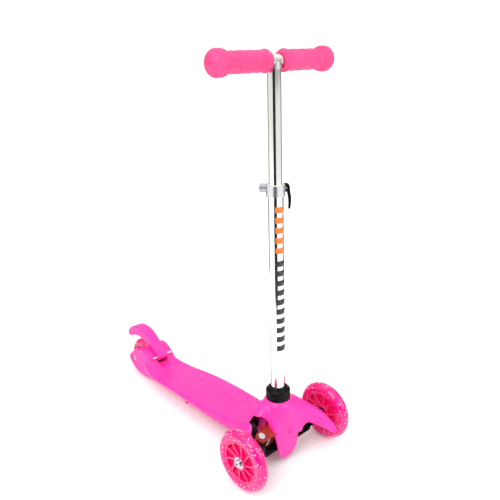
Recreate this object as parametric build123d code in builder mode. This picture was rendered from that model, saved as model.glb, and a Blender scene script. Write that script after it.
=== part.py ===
from build123d import *
import os
from math import cos, radians, sin

os.makedirs("parts", exist_ok=True)

# Kick scooter with two leaning front wheels, one rear wheel and a height-adjustable
# T-bar. X points forward, Y to the rider's left, Z up, and the floor is z = 0.
# The origin is on the floor, midway between the front tread and the brake's tail.

# Overall layout
wheelbase = 486.0  # front axle to rear axle
front_track = 231.5  # between the middles of the front wheels
bar_height = 757.0  # middle of the crossbar above the floor
bar_rake = 2.1  # degrees that the T-bar leans back
stem_setback = 23.3  # T-bar axis behind the front axle, at stem_foot_z
stem_foot_z = 100.0

# Wheels
front_wheel_d = 120.0
rear_wheel_d = 80.0
wheel_width = 24.0
tread_crown = 6.0  # how much the tread's middle stands above its shoulders
front_rim_r = 41.0  # outside of the front hub, where its tyre starts
rear_rim_r = 27.0
rim_wall = 4.0
rim_width = 20.0
spoke_count = 10
spoke_thickness = 4.0
spoke_sweep = 24.0  # degrees that each spoke leans from the radius
web_thickness = 3.0
hub_boss_r = 15.0

# Ball bearings and axle hardware
bearing_od = 22.0
bearing_width = 7.0
axle_d = 8.0
running_gap = 0.05  # radial, between a pin or axle and what turns on it
side_gap = 0.4  # along an axle, between bodies that move
washer_od = 14.0
bolt_head_d = 14.0
bolt_head_h = 4.5
hex_socket = 5.0

# Steering
kingpin_spread = 64.0  # each kingpin's distance from the centre plane
kingpin_setback = 16.0  # kingpin axis behind the front axle, at axle height
kingpin_lean = 25.0  # degrees that the kingpins lean forward at the top
kingpin_d = 8.0
barrel_r = 11.0
barrel_half = 18.0
ear_thickness = 6.5
ear_r = 11.0
ear_gap = 0.4
steer_arm_r = 20.0  # kingpin axis to link pin axis
steer_arm_low = -8.5  # levels along the kingpin, from axle height
steer_arm_high = -2.5
link_thickness = 5.0
link_width = 12.0
link_gap = 0.4
link_pin_r = 3.0
link_slot_play = 0.35
post_r = 18.0
post_bottom_z = 50.0
post_top_z = 112.0

# T-bar
lower_tube_d = 28.0
lower_tube_wall = 1.2
upper_tube_d = 24.0
upper_tube_wall = 1.5
tube_slide_gap = 0.05
clamp_height = 542.0
lower_tube_top_z = 551.0
upper_tube_overlap = 215.0  # inside the lower tube at full height
liner_length = 60.0
crossbar_d = 22.0
crossbar_half = 118.0
collar_d = 47.0
collar_height = 36.0
collar_base_z = 114.0

# Grips
grip_inner_y = 14.0
grip_flange_y = 22.0
grip_flange_d = 38.0
grip_neck_d = 33.0
grip_body_d = 34.5
grip_ball_y = 124.0
grip_ball_d = 43.7

# Height clamp
clamp_yaw = 46.0  # the clamp bolt's direction, from +X towards +Y
clamp_wall = 3.0
clamp_band_h = 19.0
clamp_slot = 4.0
clamp_ear_reach = 16.0
clamp_bolt_offset = 23.0
clamp_bolt_d = 5.0
lever_length = 38.0
lever_thickness = 5.0
cam_r = 7.0

# Deck
deck_half_width = 57.0
neck_half_width = 43.0
waist_half_width = 50.0
tail_half_width = 38.0
deck_wall = 4.0
groove_count = 9
groove_width = 1.6
groove_depth = 0.8
rib_thickness = 2.5
rib_floor_z = 36.0  # underside of the ribs

peg_y = 45.0  # a small stand-off peg under each edge
peg_foot_z = 24.0

# Rear fork and brake
fork_gap = 2.0  # beside the rear wheel, each side
fork_outer_y = 34.0
axle_recess_d = 20.0
axle_recess_depth = 7.0
fender_width = 26.0
fender_tail = 52.0  # the brake's tail behind the rear axle
brake_pivot_x = 73.0  # ahead of the rear axle
brake_pivot_z = 64.0
brake_pin_d = 6.0
brake_spring_r = 4.6  # to the middle of its wire
brake_spring_wire = 1.2
brake_spring_half = 5.0

# Front cowl
cowl_wall = 3.0
dome_r = 37.0  # at its foot, round the T-bar
tongue_half_width = 33.0
tongue_tip_z = 10.0
tongue_front = 13.0  # ahead of the front axle
lobe_reach_y = 84.0
lobe_front = 38.0
lobe_back = 42.0
lobe_top_z = 86.0
lobe_rim_z = 42.0

# Worked-out places
front_r = front_wheel_d / 2
rear_r = rear_wheel_d / 2
front_axle_x = (wheelbase + fender_tail - front_r) / 2
rear_axle_x = front_axle_x - wheelbase
half_track = front_track / 2
axle_r = axle_d / 2
bearing_r = bearing_od / 2
stem_x = front_axle_x - stem_setback
stem = Plane(
    origin=(stem_x, 0, stem_foot_z),
    x_dir=(cos(radians(bar_rake)), 0, sin(radians(bar_rake))),
    z_dir=(-sin(radians(bar_rake)), 0, cos(radians(bar_rake))),
)
stem_axis = Axis(stem.origin, stem.z_dir)


def up_stem(z):
    """Distance along the stem's axis from its foot to height z."""
    return (z - stem_foot_z) / cos(radians(bar_rake))


def side_plane(x, y=0.0, z=0.0):
    """A plane across Y whose own x and y are the scooter's X and Z."""
    return Plane(origin=(x, y, z), x_dir=(1, 0, 0), z_dir=(0, -1, 0))


def wheel_plane(x, y, z):
    """A plane through a wheel's axis: own x is the radius, own y is along the axle."""
    return Plane(origin=(x, y, z), x_dir=(1, 0, 0), z_dir=(0, 0, 1))


def kingpin_plane(y):
    """A plane across a kingpin at axle height, own x forward and own z up the pin."""
    lean = radians(kingpin_lean)
    return Plane(
        origin=(front_axle_x - kingpin_setback, y, front_r),
        x_dir=(cos(lean), 0, -sin(lean)),
        z_dir=(sin(lean), 0, cos(lean)),
    )


# Wheels: a cast tyre on a spoked hub, with two ball bearings and a spacer between them
def make_wheel(name, x, y, radius, rim_r):
    plane = wheel_plane(x, y, radius)
    spin = Axis((x, y, radius), (0, 1, 0))
    half = wheel_width / 2
    rim_half = rim_width / 2
    pocket = half - bearing_width
    shoulder = radius - tread_crown

    with BuildPart() as tyre:
        with BuildSketch(plane):
            with BuildLine():
                Polyline((shoulder, -half), (rim_r + 3, -half), (rim_r, -rim_half),
                         (rim_r, rim_half), (rim_r + 3, half), (shoulder, half))
                ThreePointArc((shoulder, half), (radius, 0), (shoulder, -half))
            make_face()
        revolve(axis=spin)
    tyre.part.label = f"{name}_tyre"
    export_step(tyre.part, f"parts/{name}_tyre.step")

    with BuildPart() as hub:
        with BuildSketch(plane):
            with Locations((rim_r - rim_wall / 2, 0)):
                Rectangle(rim_wall, rim_width)
            with Locations(((axle_r + hub_boss_r) / 2 + 1, 0)):
                Rectangle(hub_boss_r - axle_r - 2, wheel_width)
            with Locations(((hub_boss_r + rim_r - rim_wall) / 2, 0)):
                Rectangle(rim_r - rim_wall - hub_boss_r + 1, web_thickness)
        revolve(axis=spin)
        inner = hub_boss_r - 1
        outer = rim_r - rim_wall + 1
        with BuildSketch(side_plane(x, y, radius)):
            with PolarLocations(inner, spoke_count):
                with Locations(Location((0, 0), spoke_sweep)):
                    Rectangle(outer - inner + 4, spoke_thickness, align=(Align.MIN, Align.CENTER))
        extrude(amount=rim_half - 1, both=True)
        with BuildSketch(side_plane(x, y, radius)):
            Circle(radius)
            Circle(rim_r - rim_wall / 2, mode=Mode.SUBTRACT)
        extrude(amount=rim_half - 0.5, both=True, mode=Mode.SUBTRACT)
        with BuildSketch(plane):
            with Locations((rim_r - rim_wall / 2, 0)):
                Rectangle(rim_wall, rim_width)
        revolve(axis=spin)
        with BuildSketch(plane):
            for way in (1, -1):
                with Locations((bearing_r / 2, way * (pocket + bearing_width / 2))):
                    Rectangle(bearing_r, bearing_width)
            with Locations(((axle_r + 2.5) / 2, 0)):
                Rectangle(axle_r + 2.5, 2 * pocket)
        revolve(axis=spin, mode=Mode.SUBTRACT)
    hub.part.label = f"{name}_hub"
    export_step(hub.part, f"parts/{name}_hub.step")

    with BuildPart() as bearings:
        with BuildSketch(plane):
            for way in (1, -1):
                middle = way * (pocket + bearing_width / 2)
                bore = axle_r + running_gap
                with Locations(((bore + bearing_r) / 2, middle)):
                    Rectangle(bearing_r - bore, bearing_width)
                with Locations(((bore + bearing_r) / 2, middle + way * bearing_width / 2)):
                    Rectangle(3.4, 0.8, mode=Mode.SUBTRACT)
        revolve(axis=spin)
    bearings.part.label = f"{name}_bearings"
    export_step(bearings.part, f"parts/{name}_bearings.step")

    with BuildPart() as spacer:
        with BuildSketch(side_plane(x, y, radius)):
            Circle(axle_r + 2)
            Circle(axle_r + running_gap, mode=Mode.SUBTRACT)
        extrude(amount=pocket, both=True)
    spacer.part.label = f"{name}_spacer"
    export_step(spacer.part, f"parts/{name}_spacer.step")


make_wheel("left_wheel", front_axle_x, half_track, front_r, front_rim_r)
make_wheel("right_wheel", front_axle_x, -half_track, front_r, front_rim_r)
make_wheel("rear_wheel", rear_axle_x, 0.0, rear_r, rear_rim_r)


# Steering knuckles: a barrel on the kingpin, an arm out to the wheel and one to the link
wheel_inner_y = half_track - wheel_width / 2
knuckle_face_y = wheel_inner_y - side_gap
for name, way in (("left", 1), ("right", -1)):
    pin_plane = kingpin_plane(way * kingpin_spread)
    with BuildPart() as knuckle:
        with BuildSketch(pin_plane.offset(-barrel_half)):
            Circle(barrel_r)
        extrude(amount=2 * barrel_half)
        with BuildSketch(Plane(origin=(front_axle_x, way * (kingpin_spread + 4), front_r),
                               x_dir=(1, 0, 0), z_dir=(0, way, 0))):
            with Locations((-kingpin_setback / 2 + 1, 0)):
                RectangleRounded(kingpin_setback + 16, 25, 4)
        with BuildSketch(Plane(origin=(front_axle_x, way * (knuckle_face_y - 3), front_r),
                               x_dir=(1, 0, 0), z_dir=(0, way, 0))):
            RectangleRounded(20, 20, 8)
        loft()
        with BuildSketch(Plane(origin=(front_axle_x, way * (knuckle_face_y - 3), front_r),
                               x_dir=(1, 0, 0), z_dir=(0, way, 0))):
            Circle(axle_r + 2.5)
        extrude(amount=3)
        arm_plane = pin_plane.offset(steer_arm_low)
        with BuildSketch(arm_plane):
            with BuildLine():
                Polyline((0, -barrel_r + 2), (steer_arm_r, -6), (steer_arm_r, 6), (0, barrel_r - 2),
                         close=True)
            make_face()
            with Locations((steer_arm_r, 0)):
                Circle(6)
        extrude(amount=steer_arm_high - steer_arm_low)
        with BuildSketch(arm_plane):
            with Locations((steer_arm_r, 0)):
                Circle(link_pin_r)
        extrude(amount=-(link_thickness + 2 * link_gap + 2))
        with BuildSketch(pin_plane.offset(-barrel_half)):
            Circle(kingpin_d / 2 + running_gap)
        extrude(amount=2 * barrel_half, mode=Mode.SUBTRACT)
        with BuildSketch(Plane(origin=(front_axle_x, way * (knuckle_face_y + 1), front_r),
                               x_dir=(1, 0, 0), z_dir=(0, -way, 0))):
            Circle(axle_r)
        extrude(amount=knuckle_face_y - kingpin_spread - barrel_r, mode=Mode.SUBTRACT)
    knuckle.part.label = f"{name}_knuckle"
    export_step(knuckle.part, f"parts/{name}_knuckle.step")

    outer_y = half_track + wheel_width / 2 + side_gap
    with BuildPart() as axle_bolt:
        with BuildSketch(Plane(origin=(front_axle_x, way * outer_y, front_r),
                               x_dir=(1, 0, 0), z_dir=(0, -way, 0))):
            Circle(axle_r)
        extrude(amount=outer_y - kingpin_spread - barrel_r - 3)
        with BuildSketch(Plane(origin=(front_axle_x, way * outer_y, front_r),
                               x_dir=(1, 0, 0), z_dir=(0, way, 0))):
            Circle(bolt_head_d / 2)
        extrude(amount=bolt_head_h)
        fillet(axle_bolt.edges().filter_by(GeomType.CIRCLE).group_by(Axis.Y)[-1 if way > 0 else 0], 2)
        with BuildSketch(Plane(origin=(front_axle_x, way * (outer_y + bolt_head_h), front_r),
                               x_dir=(1, 0, 0), z_dir=(0, -way, 0))):
            RegularPolygon(hex_socket / 2, 6, major_radius=False)
        extrude(amount=3, mode=Mode.SUBTRACT)
    axle_bolt.part.label = f"{name}_axle_bolt"
    export_step(axle_bolt.part, f"parts/{name}_axle_bolt.step")


# Steering base: a ribbed cross-piece with a socket for the T-bar and an ear each side of
# each kingpin, and a flange that bolts under the deck's neck
ear_low = barrel_half + ear_gap
flange_z = 44.0
flange_thickness = 5.0
flange_back = 78.0  # behind the front axle
base_rib_ys = (-46.0, -30.0, 30.0, 46.0)
base_bolt_x = front_axle_x - 68
base_bolt_y = 20.0
middle = kingpin_plane(0)
with BuildPart() as steering_base:
    with BuildSketch(stem.offset(up_stem(post_bottom_z))):
        Circle(post_r)
    extrude(amount=up_stem(post_top_z) - up_stem(post_bottom_z))
    for level in (ear_low, -ear_low - ear_thickness):
        with BuildSketch(middle.offset(level)):
            SlotCenterToCenter(2 * kingpin_spread, 2 * ear_r, rotation=90)
            with Locations((-ear_r / 2 - 4, 0)):
                Rectangle(ear_r + 4, 2 * (kingpin_spread - barrel_r - 4))
        extrude(amount=ear_thickness)
    with BuildSketch(middle.offset(-ear_low)):
        with Locations((-12, 0)):
            Rectangle(4, 2 * (kingpin_spread - barrel_r - 5))
        for rib_y in base_rib_ys:
            with Locations((-2, rib_y)):
                Rectangle(20, 3)
    extrude(amount=2 * ear_low)
    with BuildSketch(Plane.XY.offset(flange_z)):
        with Locations((front_axle_x - (flange_back + kingpin_setback) / 2, 0)):
            Rectangle(flange_back - kingpin_setback, 2 * base_bolt_y + 16)
    extrude(amount=flange_thickness)
    with BuildSketch(Plane.XY.offset(flange_z)):
        with Locations((base_bolt_x, base_bolt_y), (base_bolt_x, -base_bolt_y)):
            Circle(2.5)
    extrude(amount=flange_thickness, mode=Mode.SUBTRACT)
    with BuildSketch(stem.offset(up_stem(post_bottom_z) + 6)):
        Circle(lower_tube_d / 2)
    extrude(amount=post_top_z, mode=Mode.SUBTRACT)
    for side in (1, -1):
        with BuildSketch(kingpin_plane(side * kingpin_spread).offset(-ear_low - ear_thickness)):
            Circle(kingpin_d / 2)
        extrude(amount=2 * (ear_low + ear_thickness), mode=Mode.SUBTRACT)
steering_base.part.label = "steering_base"
export_step(steering_base.part, "parts/steering_base.step")

with BuildPart() as kingpins:
    for side in (1, -1):
        pin_plane = kingpin_plane(side * kingpin_spread)
        with BuildSketch(pin_plane.offset(-ear_low - ear_thickness)):
            Circle(kingpin_d / 2)
        extrude(amount=2 * (ear_low + ear_thickness))
        with BuildSketch(pin_plane.offset(ear_low + ear_thickness)):
            Circle(kingpin_d / 2 + 2.5)
        extrude(amount=2.5)
kingpins.part.label = "kingpins"
export_step(kingpins.part, "parts/kingpins.step")

with BuildPart() as steering_link:
    link_low = steer_arm_low - link_gap - link_thickness
    with BuildSketch(middle.offset(link_low)):
        with Locations((steer_arm_r, 0)):
            SlotCenterToCenter(2 * kingpin_spread, link_width + 2, rotation=90)
        with Locations((steer_arm_r, kingpin_spread), (steer_arm_r, -kingpin_spread)):
            SlotCenterToCenter(2.4, 2 * (link_pin_r + link_slot_play), mode=Mode.SUBTRACT)
    extrude(amount=link_thickness)
steering_link.part.label = "steering_link"
export_step(steering_link.part, "parts/steering_link.step")

# Centring springs: one coil round each end of the base's web, pushing the link to the middle
spring_wire = 1.6
spring_r = 5.0
spring_y = 38.0
with BuildPart() as centring_springs:
    for side in (1, -1):
        start = middle.from_local_coords(Vector(2, side * spring_y, -ear_low))
        coil = Helix(pitch=4.2, height=2 * ear_low - 2 * spring_wire, radius=spring_r,
                     center=start + middle.z_dir * spring_wire, direction=middle.z_dir)
        with BuildSketch(Plane(origin=coil @ 0, z_dir=coil % 0)):
            Circle(spring_wire / 2)
        sweep(path=coil, is_frenet=True)
centring_springs.part.label = "centring_springs"
export_step(centring_springs.part, "parts/centring_springs.step")

# Deck: a hollow board with a skirt, ribs underneath, shallow grooves on top and, at the
# tail, two fork arms beside the rear wheel
neck_x = front_axle_x - 62
shoulder_x = front_axle_x - 140
middle_x = front_axle_x - 220
waist_x = rear_axle_x + 126
tail_x = rear_axle_x + 66
end_x = rear_axle_x + 46


def deck_profile(drop, half, below=0.0):
    """The deck's side outline on the plane y = half, its top and its underside lowered."""
    with BuildSketch(side_plane(0, half)) as outline:
        with BuildLine():
            top = Spline((neck_x, 64 - drop), (shoulder_x, 57 - drop), (middle_x, 52 - drop),
                         (waist_x + 55, 45 - drop), (waist_x, 41 - drop), (tail_x + 8, 44 - drop),
                         (end_x, 54 - drop))
            under = Spline((end_x, 24 - below), (tail_x + 20, 24 - below), (waist_x, 32 - below),
                           (waist_x + 70, 41 - below), (middle_x, 40 - below),
                           (shoulder_x + 8, 34 - below), (neck_x, 36 - below))
            Line(top @ 1, under @ 0)
            Line(under @ 1, top @ 0)
        make_face()
    return outline.sketch


def deck_plan(inset):
    """The deck's outline from above, drawn in by inset."""
    with BuildSketch(Plane.XY) as outline:
        with BuildLine():
            edge = Spline((neck_x - inset, neck_half_width - inset), (shoulder_x, 53 - inset),
                          (middle_x, deck_half_width - inset), (waist_x, waist_half_width - inset),
                          (end_x + inset, tail_half_width - inset))
            Line(edge @ 1, (end_x + inset, 0))
            Line((end_x + inset, 0), (neck_x - inset, 0))
            Line((neck_x - inset, 0), edge @ 0)
        make_face()
        mirror(about=Plane.XZ)
    return outline.sketch


with BuildPart() as deck_below_grooves:
    add(deck_profile(groove_depth, deck_half_width + 1))
    extrude(amount=2 * (deck_half_width + 1), dir=(0, -1, 0))

with BuildPart() as deck_grooves:
    groove_step = (shoulder_x - waist_x) / (groove_count - 1)
    groove_bow = 130.0
    with BuildSketch(Plane.XY):
        for number in range(groove_count):
            groove_x = waist_x + number * groove_step
            with Locations((groove_x - groove_bow, 0)):
                Circle(groove_bow + groove_width / 2)
                Circle(groove_bow - groove_width / 2, mode=Mode.SUBTRACT)
        with Locations((middle_x, 0)):
            Rectangle(wheelbase, 2 * (waist_half_width - 12), mode=Mode.INTERSECT)
        with Locations((waist_x - 30 + wheelbase / 2, 0)):
            Rectangle(wheelbase, 2 * deck_half_width, mode=Mode.INTERSECT)
    extrude(amount=120)
    add(deck_below_grooves.part, mode=Mode.SUBTRACT)
    with BuildSketch(Plane.XY):
        Rectangle(3 * wheelbase, 4 * deck_half_width)
    extrude(amount=deck_wall + 40, mode=Mode.SUBTRACT)

with BuildPart() as deck_cavity:
    add(deck_profile(deck_wall, deck_half_width, deck_wall))
    extrude(amount=2 * deck_half_width, dir=(0, -1, 0))
    add(deck_plan(deck_wall))
    extrude(amount=120, dir=(0, 0, 1), mode=Mode.INTERSECT)

with BuildPart() as deck_ribs:
    rib_pitch = (neck_x - end_x) / 8
    with BuildSketch(Plane.XY.offset(rib_floor_z)):
        for number in range(1, 8):
            with Locations((end_x + number * rib_pitch, 0)):
                Rectangle(rib_thickness, 2 * deck_half_width - 6)
        for rib_y in (-28, 0, 28):
            with Locations(((neck_x + end_x) / 2, rib_y)):
                Rectangle(neck_x - end_x - 4, rib_thickness)
    extrude(amount=40)
    add(deck_cavity.part, mode=Mode.INTERSECT)

arm_inner_y = wheel_width / 2 + fork_gap
with BuildPart() as deck:
    add(deck_profile(0, deck_half_width + 2))
    extrude(amount=2 * (deck_half_width + 2), dir=(0, -1, 0))
    add(deck_plan(0))
    extrude(amount=120, dir=(0, 0, 1), mode=Mode.INTERSECT)
    add(deck_cavity.part, mode=Mode.SUBTRACT)
    add(deck_ribs.part)
    add(deck_grooves.part, mode=Mode.SUBTRACT)
    with BuildSketch(Plane.XY.offset(flange_z + flange_thickness)):
        with Locations((base_bolt_x, base_bolt_y), (base_bolt_x, -base_bolt_y)):
            Circle(6)
    extrude(amount=60 - flange_z - flange_thickness)
    with BuildSketch(Plane.XY):
        with Locations((base_bolt_x, 0)):
            Rectangle(2 * (flange_back - kingpin_setback), 2 * base_bolt_y + 17)
    extrude(amount=flange_z + flange_thickness, mode=Mode.SUBTRACT)
    with BuildSketch(Plane.XY):
        with Locations((base_bolt_x, base_bolt_y), (base_bolt_x, -base_bolt_y)):
            Circle(2.5)
    extrude(amount=60, mode=Mode.SUBTRACT)
    with BuildSketch(Plane.XY.offset(peg_foot_z)):
        with Locations((middle_x - 40, peg_y), (middle_x - 40, -peg_y)):
            RectangleRounded(8, 5, 1)
    extrude(amount=25)
    for way in (1, -1):
        with BuildSketch(side_plane(rear_axle_x, way * arm_inner_y)):
            with BuildLine():
                Spline((108, 39), (84, 50), (60, 70), (37, 77), (12, 67), (-9, 52), (-19, 40),
                       (-10, 27), (6, 14), (28, 8), (56, 11), (86, 21), (108, 33))
                Line((108, 33), (108, 39))
            make_face()
        extrude(amount=-way * (fork_outer_y - arm_inner_y))
    with BuildSketch(side_plane(rear_axle_x)):
        with Locations((100, 38)):
            Rectangle(24, 20)
    extrude(amount=arm_inner_y, both=True)
    with BuildSketch(side_plane(rear_axle_x)):
        with Locations((brake_pivot_x, brake_pivot_z)):
            Circle(15)
    extrude(amount=arm_inner_y, both=True, mode=Mode.SUBTRACT)
    with BuildSketch(Plane.XY):
        with Locations((rear_axle_x + 19, 0)):
            Rectangle(2 * 48, 2 * arm_inner_y)
    extrude(amount=120, mode=Mode.SUBTRACT)
    with BuildSketch(side_plane(rear_axle_x)):
        with Locations((0, rear_r)):
            Circle(axle_r)
        with Locations((brake_pivot_x, brake_pivot_z)):
            Circle(brake_pin_d / 2)
    extrude(amount=fork_outer_y + 1, both=True, mode=Mode.SUBTRACT)
    for way in (1, -1):
        with BuildSketch(side_plane(rear_axle_x, way * (fork_outer_y + 1), rear_r)):
            Circle(axle_recess_d / 2)
        extrude(amount=way * (axle_recess_depth + 1), mode=Mode.SUBTRACT)
deck.part.label = "deck"
export_step(deck.part, "parts/deck.step")

# Deck screws, up through the base's flange
with BuildPart() as base_bolts:
    for side in (1, -1):
        with BuildSketch(Plane(origin=(base_bolt_x, side * base_bolt_y, flange_z))):
            Circle(2.5)
        extrude(amount=16)
        with BuildSketch(Plane(origin=(base_bolt_x, side * base_bolt_y, flange_z - 3))):
            Circle(4.5)
        extrude(amount=3)
base_bolts.part.label = "base_bolts"
export_step(base_bolts.part, "parts/base_bolts.step")

# Rear axle: a bolt through both arms, a nut in the far recess and a spacer each side
rear_seat_y = fork_outer_y - axle_recess_depth
with BuildPart() as rear_axle_bolt:
    with BuildSketch(side_plane(rear_axle_x, rear_seat_y + 6, rear_r)):
        Circle(axle_r)
    extrude(amount=2 * rear_seat_y + 6)
    with BuildSketch(side_plane(rear_axle_x, -rear_seat_y, rear_r)):
        Circle(bolt_head_d / 2)
    extrude(amount=bolt_head_h)
    with BuildSketch(side_plane(rear_axle_x, -rear_seat_y - bolt_head_h + 2.5, rear_r)):
        RegularPolygon(hex_socket / 2, 6, major_radius=False)
    extrude(amount=3, mode=Mode.SUBTRACT)
rear_axle_bolt.part.label = "rear_axle_bolt"
export_step(rear_axle_bolt.part, "parts/rear_axle_bolt.step")

with BuildPart() as rear_axle_nut:
    with BuildSketch(side_plane(rear_axle_x, rear_seat_y + 6, rear_r)):
        RegularPolygon(6.5, 6, major_radius=False)
        Circle(axle_r, mode=Mode.SUBTRACT)
    extrude(amount=6)
rear_axle_nut.part.label = "rear_axle_nut"
export_step(rear_axle_nut.part, "parts/rear_axle_nut.step")

with BuildPart() as rear_axle_washers:
    for way in (1, -1):
        with BuildSketch(side_plane(rear_axle_x, way * arm_inner_y, rear_r)):
            Circle(washer_od / 2 - 1)
            Circle(axle_r, mode=Mode.SUBTRACT)
        extrude(amount=way * (fork_gap - side_gap))
rear_axle_washers.part.label = "rear_axle_washers"
export_step(rear_axle_washers.part, "parts/rear_axle_washers.step")

# Brake: a stiff pink lever over the rear wheel, pivoting on a pin through the fork
fender_half = fender_width / 2
with BuildPart() as brake_fender:
    with BuildSketch(side_plane(rear_axle_x, fender_half)):
        with BuildLine():
            over = Spline((brake_pivot_x + 8, brake_pivot_z + 5), (brake_pivot_x - 13, 84),
                          (44, 98), (22, 111), (-6, 115), (-34, 107), (-fender_tail, 89))
            tail = ThreePointArc(over @ 1, (-fender_tail + 3, 80), (-fender_tail + 12, 79))
            below = Spline(tail @ 1, (-20, 88), (0, 90), (22, 84), (42, 70), (56, 58),
                           (brake_pivot_x, brake_pivot_z - 8))
            ThreePointArc(below @ 1, (brake_pivot_x + 7, brake_pivot_z - 4), over @ 0)
        make_face()
    extrude(amount=fender_width)
    fillet(brake_fender.edges().filter_by(GeomType.LINE, reverse=True), 2.5)
    with BuildSketch(side_plane(rear_axle_x, fender_half + 1)):
        with Locations((brake_pivot_x, brake_pivot_z)):
            Circle(brake_pin_d / 2 + running_gap)
    extrude(amount=fender_width + 2, mode=Mode.SUBTRACT)
    with BuildSketch(side_plane(rear_axle_x, brake_spring_half + side_gap)):
        with Locations((brake_pivot_x, brake_pivot_z)):
            Circle(brake_spring_r + brake_spring_wire)
    extrude(amount=2 * (brake_spring_half + side_gap), mode=Mode.SUBTRACT)
brake_fender.part.label = "brake_fender"
export_step(brake_fender.part, "parts/brake_fender.step")

with BuildPart() as brake_pin:
    with BuildSketch(side_plane(rear_axle_x + brake_pivot_x, fork_outer_y - 8, brake_pivot_z)):
        Circle(brake_pin_d / 2)
    extrude(amount=2 * (fork_outer_y - 8))
brake_pin.part.label = "brake_pin"
export_step(brake_pin.part, "parts/brake_pin.step")

# Brake spring: a torsion coil round the pin, in the lever's pocket
with BuildPart() as brake_spring:
    brake_coil = Helix(pitch=1.5, height=2 * brake_spring_half - brake_spring_wire - 0.6,
                       radius=brake_spring_r, direction=(0, 1, 0),
                       center=(rear_axle_x + brake_pivot_x, -brake_spring_half + 0.9, brake_pivot_z))
    with BuildSketch(Plane(origin=brake_coil @ 0, z_dir=brake_coil % 0)):
        Circle(brake_spring_wire / 2)
    sweep(path=brake_coil, is_frenet=True)
brake_spring.part.label = "brake_spring"
export_step(brake_spring.part, "parts/brake_spring.step")

# T-bar: lower tube in the base's socket, with a collar, a liner and the height clamp
def tube(outer, wall, z_low, z_high):
    """A round tube's ring on the stem, from one height to another."""
    with BuildSketch(stem.offset(up_stem(z_low))) as ring:
        Circle(outer / 2)
        Circle(outer / 2 - wall, mode=Mode.SUBTRACT)
    return extrude(ring.sketch, amount=up_stem(z_high) - up_stem(z_low), dir=stem.z_dir,
                   mode=Mode.PRIVATE)


with BuildPart() as lower_tube:
    add(tube(lower_tube_d, lower_tube_wall, post_bottom_z + 6 / cos(radians(bar_rake)),
             lower_tube_top_z))
lower_tube.part.label = "lower_tube"
export_step(lower_tube.part, "parts/lower_tube.step")

bore_d = lower_tube_d - 2 * lower_tube_wall
liner_wall = (bore_d - upper_tube_d) / 2 - tube_slide_gap
with BuildPart() as tube_liner:
    add(tube(bore_d, liner_wall, lower_tube_top_z - liner_length, lower_tube_top_z))
    add(tube(lower_tube_d, (lower_tube_d - upper_tube_d) / 2 - tube_slide_gap,
             lower_tube_top_z, lower_tube_top_z + 1.5))
tube_liner.part.label = "tube_liner"
export_step(tube_liner.part, "parts/tube_liner.step")

collar_low = up_stem(collar_base_z)
with BuildPart() as stem_collar:
    with BuildSketch(Plane(origin=stem.origin, x_dir=stem.x_dir, z_dir=-stem.y_dir)):
        with BuildLine():
            Polyline((lower_tube_d / 2, collar_low), (collar_d / 2, collar_low),
                     (collar_d / 2, collar_low + 14), (collar_d / 2 - 1.5, collar_low + 15),
                     (collar_d / 2 - 1.5, collar_low + 16.5), (collar_d / 2, collar_low + 17.5),
                     (collar_d / 2, collar_low + 24), (lower_tube_d / 2 + 5, collar_low + 31),
                     (lower_tube_d / 2 + 5, collar_low + 33), (lower_tube_d / 2 + 3, collar_low + 33),
                     (lower_tube_d / 2 + 3, collar_low + collar_height),
                     (lower_tube_d / 2, collar_low + collar_height), close=True)
        make_face()
    revolve(axis=stem_axis)
stem_collar.part.label = "stem_collar"
export_step(stem_collar.part, "parts/stem_collar.step")

# Handlebar: upper tube with a guide at its foot, a crossbar welded on top and two grips
bar_top = Plane(origin=stem.from_local_coords(Vector(0, 0, up_stem(bar_height))),
                x_dir=stem.x_dir, z_dir=stem.z_dir)
crossbar_r = crossbar_d / 2
upper_tube_low_z = lower_tube_top_z - upper_tube_overlap
with BuildPart() as upper_tube:
    add(tube(upper_tube_d, upper_tube_wall, upper_tube_low_z, bar_height))
    with BuildSketch(Plane(origin=bar_top.origin, x_dir=(1, 0, 0), z_dir=(0, 1, 0))):
        Circle(crossbar_r)
    extrude(amount=upper_tube_d, both=True, mode=Mode.SUBTRACT)
upper_tube.part.label = "upper_tube"
export_step(upper_tube.part, "parts/upper_tube.step")

guide_gap = 0.08
with BuildPart() as tube_guide:
    add(tube(bore_d - 2 * guide_gap, (bore_d - 8) / 2 - guide_gap,
             upper_tube_low_z - 6, upper_tube_low_z))
    add(tube(upper_tube_d - 2 * upper_tube_wall, (upper_tube_d - 2 * upper_tube_wall - 8) / 2,
             upper_tube_low_z, upper_tube_low_z + 14))
tube_guide.part.label = "tube_guide"
export_step(tube_guide.part, "parts/tube_guide.step")

with BuildPart() as crossbar:
    with BuildSketch(Plane(origin=bar_top.origin - Vector(0, crossbar_half, 0),
                           x_dir=(1, 0, 0), z_dir=(0, 1, 0))):
        Circle(crossbar_r)
        Circle(crossbar_r - upper_tube_wall, mode=Mode.SUBTRACT)
    extrude(amount=2 * crossbar_half)
crossbar.part.label = "crossbar"
export_step(crossbar.part, "parts/crossbar.step")

with BuildPart() as crossbar_weld:
    with BuildSketch(bar_top.offset(-crossbar_r - 2)):
        Circle(upper_tube_d / 2 + 1.6)
        Circle(upper_tube_d / 2, mode=Mode.SUBTRACT)
    extrude(amount=crossbar_r)
    with BuildSketch(Plane(origin=bar_top.origin, x_dir=(1, 0, 0), z_dir=(0, 1, 0))):
        Circle(crossbar_r)
    extrude(amount=upper_tube_d, both=True, mode=Mode.SUBTRACT)
crossbar_weld.part.label = "crossbar_weld"
export_step(crossbar_weld.part, "parts/crossbar_weld.step")

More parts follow.
